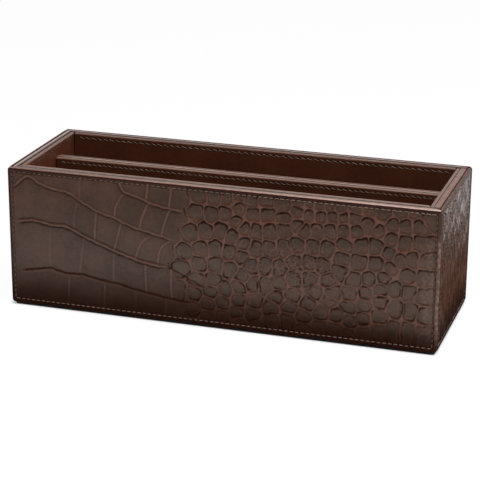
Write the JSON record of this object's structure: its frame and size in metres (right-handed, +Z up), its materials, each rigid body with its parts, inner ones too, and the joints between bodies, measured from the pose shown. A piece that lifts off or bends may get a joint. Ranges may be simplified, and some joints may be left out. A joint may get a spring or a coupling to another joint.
{
  "type": "letter rack",
  "caption": "Long open-topped desk letter rack of embossed leather over board, with a fixed lengthwise divider between a deep front and a shallow rear compartment",
  "frame": {"origin": "on the ground under the middle of the rack", "axes": "+X runs along the rack, the front cover faces -Y, +Z is up"},
  "size_m": [0.29, 0.1, 0.096],
  "materials": {
    "embossed_leather": "embossed, semi-gloss",
    "smooth_leather": "smooth, satin",
    "lining_leather": "smooth, matt",
    "board": "raw fibreboard",
    "black_sheet": "matt felt"
  },
  "bodies": {
    "root": {"front_cover": "embossed_leather", "front_rim_wrap": "smooth_leather", "front_lining": "lining_leather", "front_board": "board", "back_cover": "embossed_leather", "back_rim_wrap": "smooth_leather", "back_lining": "lining_leather", "back_board": "board", "left_end_cover": "embossed_leather", "left_end_rim_wrap": "smooth_leather", "left_end_lining": "lining_leather", "left_end_board": "board", "right_end_cover": "embossed_leather", "right_end_rim_wrap": "smooth_leather", "right_end_lining": "lining_leather", "right_end_board": "board", "divider_front_facing": "lining_leather", "divider_rear_facing": "lining_leather", "divider_wrap": "smooth_leather", "divider_board": "board", "front_floor_lining": "lining_leather", "rear_floor_lining": "lining_leather", "base_board": "board", "base_sheet": "black_sheet"}
  },
  "joints": []
}
